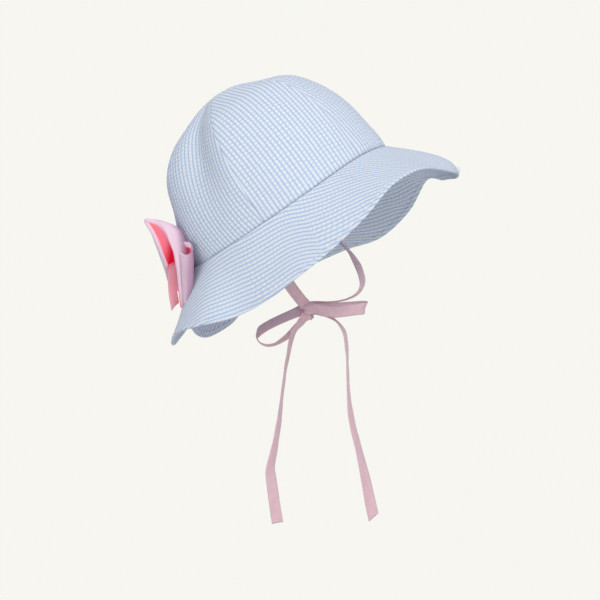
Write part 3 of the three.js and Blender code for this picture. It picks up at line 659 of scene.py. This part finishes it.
# Each row is a fold point across the ribbon: where it is at the knot, at the loop's belly and at its rim.
# Millimetres from the brim seam's centre back: x towards the hat, y out to the side, z up the crown.
OUTER_LOOP = [
    ((-17, 8, 4), (-12.0, 24, 8), (-7.3, 36, 10.5)),
    ((-17, 8, 8), (-9.0, 27, 16), (-4.2, 40.5, 19.1)),
    ((-16, 8, 11), (-6.8, 29, 26), (-1.8, 42.5, 28.2)),
    ((-14.5, 8, 13), (-4.4, 30, 34.8), (-0.5, 43.5, 36.8)),
    ((-13, 8, 14), (-3, 31, 39.8), (-0.2, 44, 44.2)),
    ((-11.5, 8, 14), (1.4, 33, 40), (0.2, 44, 47.2)),
    ((-10, 8, 13), (7.5, 35, 36.2), (5.8, 44, 40.8)),
    ((-9, 8, 11), (12.0, 36, 31.8), (7.4, 44.3, 32.2)),
    ((-8.5, 8, 8), (15.4, 38, 26), (6.3, 45, 25.1)),
    ((-8.5, 8, 5), (14.3, 40, 18), (4.8, 45, 17.2)),
    ((-8.5, 8, 2), (10.8, 38, 9), (3.1, 45, 12.3)),
    ((-9, 8, -2), (3, 36, 0), (-2.0, 45, 0.3)),
    ((-10, 8, -5), (-6, 33, -9), (-6.9, 44, -9.6)),
    ((-11.5, 8, -8), (-13.5, 28, -15.5), (-11.2, 43, -18.2)),
    ((-12.5, 8, -9), (-16, 26, -18), (-13.0, 42, -21.5)),
]
# The inner pair are small closed loops: each row is a place along the ribbon, out from the knot, round the
# end and back, with five points across it from its lower edge to its upper edge.
INNER_LOOP = [
    ((-8.5, 8, -7.5), (-8, 8, -4), (-7.5, 8, 0), (-7, 8, 4), (-6.5, 8, 7.5)),
    ((-10, 22, -13), (-6.5, 22, -7), (-3, 22, 0), (0, 22, 6), (2, 22, 11)),
    ((-10.5, 34, -18), (-6, 35, -11), (-1, 36, -3), (3, 36, 4), (6.5, 36, 12)),
    ((-10.2, 41, -20), (-5.5, 42.5, -11.8), (0.3, 43.5, -2.5), (4.8, 43.5, 4.3), (8.8, 43.5, 12.8)),
    ((-9.9, 43.5, -20.2), (-4.2, 45, -11.4), (1.6, 46, -2), (5.5, 46.2, 4.5), (9.6, 46.2, 12.5)),
    ((-9.4, 44.5, -20.4), (-2.8, 47, -12), (3.6, 48.5, -2.8), (7.5, 49, 3.2), (12.0, 49.3, 9.0)),
    ((-8.8, 44.5, -20.3), (-0.5, 47.8, -13), (6.2, 49.8, -4.2), (10.5, 50.2, 1.8), (15.0, 50, 8.0)),
    ((-8.5, 44, -20), (1.5, 48, -14.3), (8.8, 49.8, -5), (13.3, 50, 1.5), (17.8, 49.5, 8.8)),
    ((-8, 41, -19.5), (1.5, 44, -12.5), (10, 46, -2.5), (16, 47.5, 6), (20, 47.5, 13.6)),
    ((-8, 36, -18), (1, 40, -10), (9, 42, 0), (14, 43, 9), (16.8, 44.5, 17.2)),
    ((-8, 30, -16), (0, 34, -8), (6.5, 36, 3), (10.0, 37, 12), (11.2, 38.5, 20.8)),
    ((-7.5, 20, -12), (-3, 22, -5), (1, 23, 3), (3.5, 24, 10), (5, 26, 17)),
    ((-6, 8, -7), (-5, 8, -3), (-4.5, 8, 1), (-4.5, 8, 4.5), (-5, 8, 8)),
]
# The tails: each row is an edge or the middle of the ribbon, from the edge away from the hat to the near one:
# where it is at the knot, at the top of its turn out of the loop, halfway down and at its cut end.
TAIL = [
    ((-11.0, 11, 9), (-8.0, 28, 11.4), (-19.1, 25, -2.9), (-25.4, 26, -17.3)),
    ((-8.6, 11, 9), (-5.5, 27, 11), (-15.8, 24, -3), (-21.8, 24, -15.5)),
    ((-5.7, 11, 9), (-3.1, 26, 9.9), (-12.4, 23, -3), (-18.3, 22, -14.9)),
]


def smooth_through(rows, count):
    """Points on a smooth curve through rows, along the first axis."""
    rows = np.asarray(rows, float)
    padded = np.concatenate([2 * rows[:1] - rows[1:2], rows, 2 * rows[-1:] - rows[-2:-1]])
    place = np.linspace(0, len(rows) - 1, count)
    k = np.minimum(place.astype(int), len(rows) - 2)
    f = (place - k).reshape((-1,) + (1,) * (rows.ndim - 1))
    a, b, c, d = padded[k], padded[k + 1], padded[k + 2], padded[k + 3]
    curved = (2 * a - 5 * b + 4 * c - d) * f ** 2
    return 0.5 * (2 * b + (c - a) * f + curved + (3 * b - a - 3 * c + d) * f ** 3)


def bow_sheet(name, rows, side, node, faces, droop=1.0, thickness=BOW_RIBBON_THICKNESS, turned=False):
    """A folded sheet of ribbon from the knot out to its rim, with thickness and soft edges. It is returned
    with its flat size and its area."""
    stations = smooth_through(np.array(rows, float) / 1000, BOW_ACROSS)
    grid = np.swapaxes(smooth_through(np.swapaxes(stations, 0, 1), BOW_ALONG), 0, 1)
    grid[..., 2] = np.where(grid[..., 2] > 0, grid[..., 2] * droop, grid[..., 2])
    grid[..., 0] -= HEAD_LENGTH / 2
    grid[..., 1] *= side
    quads = grid_faces(np.arange(BOW_ACROSS * BOW_ALONG).reshape(BOW_ACROSS, BOW_ALONG))
    if (side < 0) != turned:
        quads = quads[:, ::-1]
    maps = np.broadcast_arrays(np.linspace(0, 1, BOW_ACROSS)[:, None], np.linspace(0, 1, BOW_ALONG)[None, :])
    mesh = cloth_mesh(name, tipped_back(grid), quads, np.stack(maps, -1), faces)
    mesh.polygons.foreach_set("use_smooth", [True] * len(mesh.polygons))
    sheet = link_object(name, mesh)
    wall = sheet.modifiers.new("thickness", "SOLIDIFY")
    wall.thickness = thickness
    wall.offset = 0
    wall.material_offset = 1
    soft = sheet.modifiers.new("soft_edges", "SUBSURF")
    soft.levels = soft.render_levels = 1
    settled = sheet.evaluated_get(bpy.context.evaluated_depsgraph_get())
    final = bpy.data.meshes.new_from_object(settled)
    sheet.modifiers.clear()
    sheet.data = final
    final.name = name
    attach(sheet, "root")
    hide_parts(node)
    return sheet, *cut_size(grid)


for word, side, droop in (("right", -1, 1.0), ("left", 1, LEFT_LOOP_DROOP)):
    outer_loop, outer_flat, outer_area = bow_sheet(
        f"bow_outer_loop_{word}_ribbon", OUTER_LOOP, side, f"bow_loop_{word}", (bow_outside, bow_inside),
        droop)
    inner_loop, inner_flat, inner_area = bow_sheet(
        f"bow_inner_loop_{word}_ribbon", INNER_LOOP, side, f"bow_inner_loop_{word}",
        (bow_inner_outside, bow_inner_fold), droop, INNER_RIBBON_THICKNESS, turned=True)
    tail, _, _ = bow_sheet(
        f"bow_tail_{word}_ribbon", TAIL, side, f"bow_tail_{word}", (bow_tail_face, bow_tail_face),
        thickness=INNER_RIBBON_THICKNESS)

# The wrap round the bow's middle, gathered into small folds.
WRAP_CENTRE = np.array([-0.0125, 0, 0.0025])
WRAP_HALF_WIDTH, WRAP_DEPTH, WRAP_HEIGHT = 0.0085, 0.0085, 0.0115


def tube_faces(rings, around):
    """Spot numbers ring by ring, and the four-sided faces between the rings."""
    index = np.arange(rings * around).reshape(rings, around)
    after = np.roll(index, -1, axis=1)
    return index, np.stack([index[:-1], after[:-1], after[1:], index[1:]], -1).reshape(-1, 4)


def bow_wrap():
    around, lanes = 72, 28
    turn = np.linspace(0, 2 * math.pi, around, endpoint=False)[None, :]
    across = np.linspace(-1, 1, lanes)[:, None]
    bulge = 1 - 0.16 * across ** 2 + 0.05 * np.cos(across * 11 + 1.2 * np.sin(2 * turn) + 0.4)
    end_roll = np.sqrt(np.clip(1 - np.clip((np.abs(across) - 0.86) / 0.14, 0, 1) ** 2, 0, 1))
    bulge = bulge * (0.55 + 0.45 * end_roll)
    x = WRAP_CENTRE[0] + WRAP_DEPTH * np.cos(turn) * bulge - HEAD_LENGTH / 2
    z = WRAP_CENTRE[2] + WRAP_HEIGHT * np.sin(turn) * bulge
    y = np.broadcast_to(across * WRAP_HALF_WIDTH, x.shape)
    ring = tipped_back(np.stack([x, y, z], -1))
    index, quads = tube_faces(lanes, around)
    faces = quads.tolist() + [index[0].tolist()[::-1], index[-1].tolist()]
    mesh = bpy.data.meshes.new("bow_wrap_ribbon")
    mesh.from_pydata(ring.reshape(-1, 3).tolist(), [], faces)
    layer = mesh.uv_layers.new(name="cloth")
    layer.data.foreach_set("uv", np.ones(2 * len(mesh.loops), np.float32))
    mesh.materials.append(bow_wrap_face)
    mesh.polygons.foreach_set("use_smooth", [True] * len(quads) + [False, False])
    wrap = link_object("bow_wrap_ribbon", mesh)
    work = bmesh.new()
    work.from_mesh(mesh)
    bmesh.ops.recalc_face_normals(work, faces=work.faces)
    work.to_mesh(mesh)
    work.free()
    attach(wrap, "root")
    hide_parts("bow_knot")


bow_wrap()

# Chin ties: two narrow dusty-pink woven ribbons, each sewn into the seam inside one side of the brim. They
# meet in a small knot and bow under the chin, and their tails hang free to their cut ends.
TIE_WIDTH, TIE_THICKNESS = 0.0085, 0.00042
TIE_STEP = 0.0012
CUT_SLANT, CUT_SLANT_REACH = 0.0022, 0.006
TIE_RIPPLE, TIE_CUP, CALM_END = 0.00012, 0.0005, 0.004
TIE_PINK = (0.67, 0.445, 0.495, 1)
# Centre of the ribbon, then the way its width points; millimetres
STRAP_RIGHT = [
    (-8.8, -64.9, -13.3, 0.93, 0.05, 0.35), (-3.2, -49.5, -30, 0.88, 0.15, 0.43),
    (2.4, -34, -45.8, 0.88, 0.15, 0.43), (8, -20, -59, 0.88, 0.15, 0.43),
    (12.7, -9.6, -68.2, 0.88, 0.15, 0.43),
]
LOOP_BACK = [
    (9.6, -3.8, -76.4, -0.4, 0.45, 0.8), (4.7, -5, -78.6, -0.4, 0.55, 0.72),
    (-4.4, -6, -82.5, -0.4, 0.59, 0.7), (-12.7, -6, -86.5, -0.36, 0.6, 0.71),
    (-19.8, -5, -90.8, -0.6, 0.65, 0.41), (-22.9, -3, -94.7, -0.42, 0.9, -0.05),
    (-22.4, -2, -98.4, -0.32, 0.94, -0.09), (-19.2, -1, -101.4, -0.31, 0.93, -0.18),
    (-14.9, 0, -102.6, -0.2, 0.96, -0.27), (-9.7, 1, -101.7, -0.12, 0.95, -0.3),
    (-4.6, 2, -98.8, 0.04, 0.93, -0.36), (0.5, 3, -94.7, 0.15, 0.9, -0.43), (5, 4, -89.5, 0.23, 0.9, -0.36),
    (9.2, 4.5, -85.2, 0.3, 0.88, -0.36), (12.2, 4.5, -82, 0.3, 0.85, -0.4),
]
TAIL_FRONT = [
    (22.8, -2.6, -76.4, 0.15, 0.9, 0.4), (31.6, -2.6, -80.2, -0.05, 0.97, 0.2),
    (37.5, -2.2, -84, -0.09, 0.98, 0.07), (41, -1.6, -88.5, 0.046, 0.98, 0.115),
    (43.1, -1, -93, 0.12, 0.98, 0.08), (44.4, -1, -101, 0.09, 0.99, 0), (45.5, -1, -115.7, 0.02, 1, 0),
    (46.7, -1, -135.7, 0.1, 0.99, 0), (49.3, -2, -156.3, 0.33, 0.94, 0.05),
    (54.3, -3, -176.8, 0.39, 0.92, 0.08), (58.6, -3, -196, 0.62, 0.78, 0.1),
    (62.6, -1, -217, 0.85, 0.5, 0.15), (65.2, 0, -228.4, 0.95, 0.25, 0.2),
]
STRAP_LEFT = [
    (-2.9, 66.3, -9.2, 0.5, 0.05, 0.86), (12, 61, -18, 0.4, 0.6, 0.65), (27, 54.5, -26, 0, 0.98, 0.15),
    (38.2, 46, -34, -0.055, 0.99, 0.11), (44.4, 38, -40.3, 0.126, 0.98, 0.16),
    (49, 30, -46.7, 0.27, 0.96, 0.07), (52.2, 22, -53.1, 0.23, 0.97, -0.05),
    (52.6, 15, -59.4, 0.08, 0.98, -0.155), (49.9, 11, -64.2, -0.05, 0.97, -0.2),
    (43.7, 9.5, -67.5, -0.15, 0.96, -0.21), (35.6, 8.2, -69.5, -0.15, 0.96, -0.21),
    (28.5, 5.8, -71.5, -0.1, 0.7, -0.6), (22.6, 4.3, -72.8, 0.1, 0.3, -0.95),
]
LOOP_FRONT = [
    (22.7, -6, -74.3, 0.1, 0, 1), (29.8, -7, -75.6, 0, 0, 1), (37.5, -8, -76.2, -0.05, 0, 1),
    (45.1, -8.5, -75.3, 0.05, 0, 1), (51.7, -8, -74.4, 0.1, 0, 1), (56.7, -6.5, -73.8, 0.15, 0.1, 1),
    (58.8, -4, -73.6, 0.25, 0.1, 1), (59, -1, -72.6, 0.28, 0.2, 1), (56.5, 1, -72.3, 0.2, 0.25, 1),
    (50.9, 2, -72.7, 0.05, 0.25, 1), (43.2, 2.4, -73.4, 0, 0.2, 1), (34.9, 2, -74.2, 0, 0.1, 1),
    (27.5, 1.5, -74.5, 0, 0.1, 1), (22.5, 1.2, -74.5, 0, 0.1, 1),
]
TAIL_BACK = [
    (13.6, -6.8, -81, 0.55, 0.8, -0.2), (10.4, -8.5, -85.5, 0.45, 0.89, 0), (7, -9, -90, 0.35, 0.94, 0),
    (4.5, -8, -96, 0.24, 0.97, 0), (2.6, -7, -103.4, 0.15, 0.99, 0), (-1.2, -4, -120, 0.05, 1, 0),
    (-3.7, -3, -139.4, 0.05, 1, 0), (-5.8, -3, -160.3, 0.24, 0.97, 0), (-8.8, -4, -179, 0.4, 0.92, 0),
    (-11.7, -5, -193, 0.63, 0.78, 0), (-11.4, -4, -202, 0.8, 0.6, 0), (-9.1, -2, -223, 0.9, 0.44, 0),
    (-7.4, -1, -234.4, 0.95, 0.3, 0),
]
# Inside the knot, from one stretch to the next
KNOT_RIGHT_IN = [(15, -6, -71.5, 0.5, 0.1, 0.8), (14, -4, -74, 0, 0, 1)]
KNOT_RIGHT_OUT = [(15, 3, -79.5, -0.7, 0.2, 0.7), (18.5, 0, -77, -0.4, 0, 1)]
KNOT_LEFT_IN = [(18, 2.5, -73.2, 0, 0.1, 1), (15.5, -1, -73.6, 0, 0, 1), (18, -5, -74, 0, 0, 1)]
KNOT_LEFT_OUT = [(18.5, 0.5, -75, 0, 0, 1), (16.5, -4, -77.5, -0.6, 0, 0.7)]


def without_flips(rows):
    """The same rows as an array; a width that points against the one before it is turned round."""
    table = np.array(rows, float)
    for k in range(1, len(table)):
        if table[k, 3:] @ table[k - 1, 3:] < 0:
            table[k, 3:] *= -1
    return table


def tie_material():
    """Fine plain weave: crosswise ribs and a cloudy unevenness, dusty pink."""
    material, tree, shader = new_material("tie_ribbon_weave", {"Roughness": 0.5, "Sheen Weight": 0.25})
    weave_map = add_node(tree.nodes, "ShaderNodeUVMap", uv_map="cloth")
    ribs = add_node(tree.nodes, "ShaderNodeTexWave", {"Scale": 7.5, "Distortion": 0.6, "Detail": 1},
                    bands_direction="Y")
    cloud = add_node(tree.nodes, "ShaderNodeTexNoise", {"Scale": 2.2, "Detail": 4})
    darker = tuple(c * 0.86 for c in TIE_PINK[:3]) + (1,)
    lighter = tuple(min(1, c * 1.12) for c in TIE_PINK[:3]) + (1,)
    shade = add_node(tree.nodes, "ShaderNodeMix", {"A": darker, "B": lighter}, data_type="RGBA")
    mixed = add_node(tree.nodes, "ShaderNodeMath", {1: 0.45}, operation="MULTIPLY_ADD")
    bump = add_node(tree.nodes, "ShaderNodeBump", {"Strength": 0.3, "Distance": 0.0002})
    join(tree, (weave_map, "UV", ribs, "Vector"), (weave_map, "UV", cloud, "Vector"), (ribs, "Fac", mixed, 0),
         (cloud, "Fac", mixed, 2), (mixed, "Value", shade, "Factor"), (shade, "Result", shader, "Base Color"),
         (mixed, "Value", bump, "Height"), (bump, "Normal", shader, "Normal"))
    return material


tie_weave = tie_material()


def ribbon_tie(name, rows, cut_slant=0.0):
    """A flat ribbon along rows, as one closed mesh. Returns it and the points that it follows."""
    table = without_flips(rows)
    table[:, :3] /= 1000
    curve = smooth_through(table, 40 * len(table))
    run = run_length(curve[:, None, :3], 0)[:, 0]
    steps = int(run[-1] / TIE_STEP)
    even = np.linspace(0, run[-1], steps)
    middle = np.stack([np.interp(even, run, curve[:, k]) for k in range(3)], -1)
    width_way = np.stack([np.interp(even, run, curve[:, k]) for k in range(3, 6)], -1)
    along = np.gradient(middle, axis=0)
    along /= np.linalg.norm(along, axis=-1, keepdims=True)
    width_way -= along * np.einsum("ij,ij->i", width_way, along)[:, None]
    width_way /= np.linalg.norm(width_way, axis=-1, keepdims=True)
    face_way = np.cross(along, width_way)
    lanes = np.linspace(-1, 1, 9)
    half = TIE_WIDTH / 2
    ends = np.minimum(even, even[-1] - even)
    ripple = TIE_RIPPLE * np.sin(even[:, None] / 0.0031 + 2 * lanes) * np.sin(even[:, None] / 0.017)
    cup = TIE_CUP * (lanes ** 2)[None, :] * np.sin(even[:, None] / 0.021 + 0.7)
    edge = np.where(np.abs(lanes) > 0.99, 0.45, 1.0)[None, :]
    base = middle[:, None] + width_way[:, None] * (lanes * half)[None, :, None]
    slant = cut_slant * lanes[None, :] * np.clip(1 - (even[-1] - even) / CUT_SLANT_REACH, 0, 1)[:, None]
    base = base + along[:, None] * slant[..., None]
    lift = (ripple + cup) * np.clip(ends / CALM_END, 0, 1)[:, None]
    top = base + face_way[:, None] * (lift + edge * TIE_THICKNESS / 2)[..., None]
    back = base + face_way[:, None] * (lift - edge * TIE_THICKNESS / 2)[..., None]
    ring = np.concatenate([top, back[:, ::-1]], axis=1)
    count, around = ring.shape[:2]
    index = np.arange(count * around).reshape(count, around)
    nxt = np.roll(index, -1, axis=1)
    quads = np.stack([index[:-1], index[1:], nxt[1:], nxt[:-1]], -1).reshape(-1, 4)
    lane_map = np.concatenate([lanes, lanes[::-1]]) / 2
    maps = np.stack(np.broadcast_arrays(lane_map[None, :], even[:, None] / TIE_WIDTH), -1).reshape(-1, 2)
    flat_lanes = len(lanes)
    caps = []
    for row, flip in ((index[0], False), (index[-1], True)):
        for k in range(flat_lanes - 1):
            cap = [row[k], row[k + 1], row[2 * flat_lanes - 2 - k], row[2 * flat_lanes - 1 - k]]
            caps.append(cap[::-1] if flip else cap)
    spots = ring.reshape(-1, 3)
    quads = facing_out(spots, np.concatenate([quads, np.array(caps)]))
    mesh = cloth_mesh(name, spots, quads, maps, [tie_weave])
    mesh.polygons.foreach_set("use_smooth", [True] * len(mesh.polygons))
    return link_object(name, mesh), middle, float(run[-1])


right_rows = STRAP_RIGHT + KNOT_RIGHT_IN + LOOP_BACK + KNOT_RIGHT_OUT + TAIL_FRONT
left_rows = STRAP_LEFT + KNOT_LEFT_IN + LOOP_FRONT + KNOT_LEFT_OUT + TAIL_BACK
tie_right, path_right, length_right = ribbon_tie("tie_right_ribbon", right_rows, cut_slant=CUT_SLANT)
tie_left, path_left, length_left = ribbon_tie("tie_left_ribbon", left_rows)


# The knot itself: the two ribbons wrapped tight round each other, a small soft lump of folds.
KNOT_CENTRE = np.array([0.0168, -0.0015, -0.0745])
KNOT_SIZE = np.array([0.0052, 0.0070, 0.0052])


def chin_knot():
    rounds, lanes = 48, 28
    turn = np.linspace(0, 2 * math.pi, rounds, endpoint=False)[None, :]
    across = np.linspace(-1, 1, lanes)[:, None]
    belly = np.sqrt(np.clip(1 - np.abs(across) ** 2.6, 0, 1))
    folds = 1 + 0.09 * np.sin(across * 9 + 1.5 * np.sin(turn)) + 0.05 * np.cos(3 * turn + across * 2)
    radius = belly * folds
    ball = np.stack([np.cos(turn) * radius, np.sin(turn) * radius, np.broadcast_to(across, radius.shape)], -1)
    _, quads = tube_faces(lanes, rounds)
    maps = np.stack(np.broadcast_arrays(across / 2, turn / 2), -1)
    mesh = cloth_mesh("tie_knot_ribbon", KNOT_CENTRE + KNOT_SIZE * ball, quads, maps, [tie_weave])
    knot = link_object("tie_knot_ribbon", mesh)
    close_up(knot)
    return knot


knot = chin_knot()
for piece in (tie_right, tie_left, knot):
    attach(piece, "root")
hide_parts("tie_strap_right", "tie_loop_back", "tie_tail_front")
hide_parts("tie_strap_left", "tie_loop_front", "tie_tail_back")
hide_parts("tie_knot")

# Studio: a plain pale floor far below, the world's pale backdrop behind the hat and dimmer room light all
# round, a soft key light from above with a weak fill from below, and the camera at the photo's angle.
FLOOR_GREY = (0.80, 0.795, 0.79, 1)
BACKDROP_CREAM = (0.930, 0.922, 0.880, 1)
ROOM_LIGHT = (0.56, 0.57, 0.60, 1)
CAMERA_TURN, CAMERA_RISE = math.radians(12), math.radians(3)
CAMERA_DISTANCE, VIEW_WIDTH, SENSOR_WIDTH = 2.0, 0.444, 36.0
VIEW_RIGHT, VIEW_DOWN = 0.00925, 0.06808

sideways = Vector((math.cos(CAMERA_TURN), math.sin(CAMERA_TURN), 0))
backwards = Vector((math.sin(CAMERA_TURN) * math.cos(CAMERA_RISE),
                    -math.cos(CAMERA_TURN) * math.cos(CAMERA_RISE), math.sin(CAMERA_RISE)))
upwards = backwards.cross(sideways)
target = sideways * VIEW_RIGHT - upwards * VIEW_DOWN
camera_data = bpy.data.cameras.new("camera")
camera_data.sensor_width = SENSOR_WIDTH
camera_data.lens = SENSOR_WIDTH * CAMERA_DISTANCE / VIEW_WIDTH
camera_data.clip_end = 60
camera = link_object("camera", camera_data)
camera.location = target + backwards * CAMERA_DISTANCE
camera.rotation_euler = (-backwards).to_track_quat("-Z", "Y").to_euler()
bpy.context.scene.camera = camera


def studio_sweep():
    floor_level, reach = -1.2, 5.0
    mesh = bpy.data.meshes.new("studio_floor")
    corners = [(-reach, -reach), (reach, -reach), (reach, reach), (-reach, reach)]
    mesh.from_pydata([(x, y, floor_level) for x, y in corners], [], [(0, 1, 2, 3)])
    paper, _, _ = new_material("studio_paper", {
        "Base Color": FLOOR_GREY, "Roughness": 1.0, "Specular IOR Level": 0.0,
    })
    mesh.materials.append(paper)
    link_object("studio_floor", mesh)


studio_sweep()


def studio_world():
    """A bright pale backdrop behind the hat and a dimmer room all round it."""
    world = bpy.data.worlds.new("studio_light")
    bpy.context.scene.world = world
    world.use_nodes = True
    nodes = world.node_tree.nodes
    sky = nodes["Background"]
    sky.inputs["Strength"].default_value = 1.0
    towards = add_node(nodes, "ShaderNodeTexCoord")
    facing = add_node(nodes, "ShaderNodeVectorMath", {1: -backwards}, operation="DOT_PRODUCT")
    spread = add_node(nodes, "ShaderNodeMapRange", {"From Min": 0.70, "From Max": 0.97},
                      interpolation_type="SMOOTHSTEP")
    colour = add_node(nodes, "ShaderNodeMix", {"A": ROOM_LIGHT, "B": BACKDROP_CREAM}, data_type="RGBA")
    join(world.node_tree, (towards, "Generated", facing, 0), (facing, "Value", spread, "Value"),
         (spread, "Result", colour, "Factor"), (colour, "Result", sky, "Color"))


studio_world()


def soft_light(name, place, size, power, aim=(0, 0, 0)):
    lamp = bpy.data.lights.new(name, "AREA")
    lamp.shape = "DISK"
    lamp.size = size
    lamp.energy = power
    light = link_object(name, lamp)
    light.location = place
    light.rotation_euler = (Vector(aim) - Vector(place)).to_track_quat("-Z", "Y").to_euler()


soft_light("key_light", (0.9, -1.9, 1.3), 1.6, 36)
soft_light("low_fill", (-1.3, -1.5, -0.3), 1.2, 3.2)

bpy.context.scene.view_settings.view_transform = "Standard"
bpy.context.scene.view_settings.look = "None"
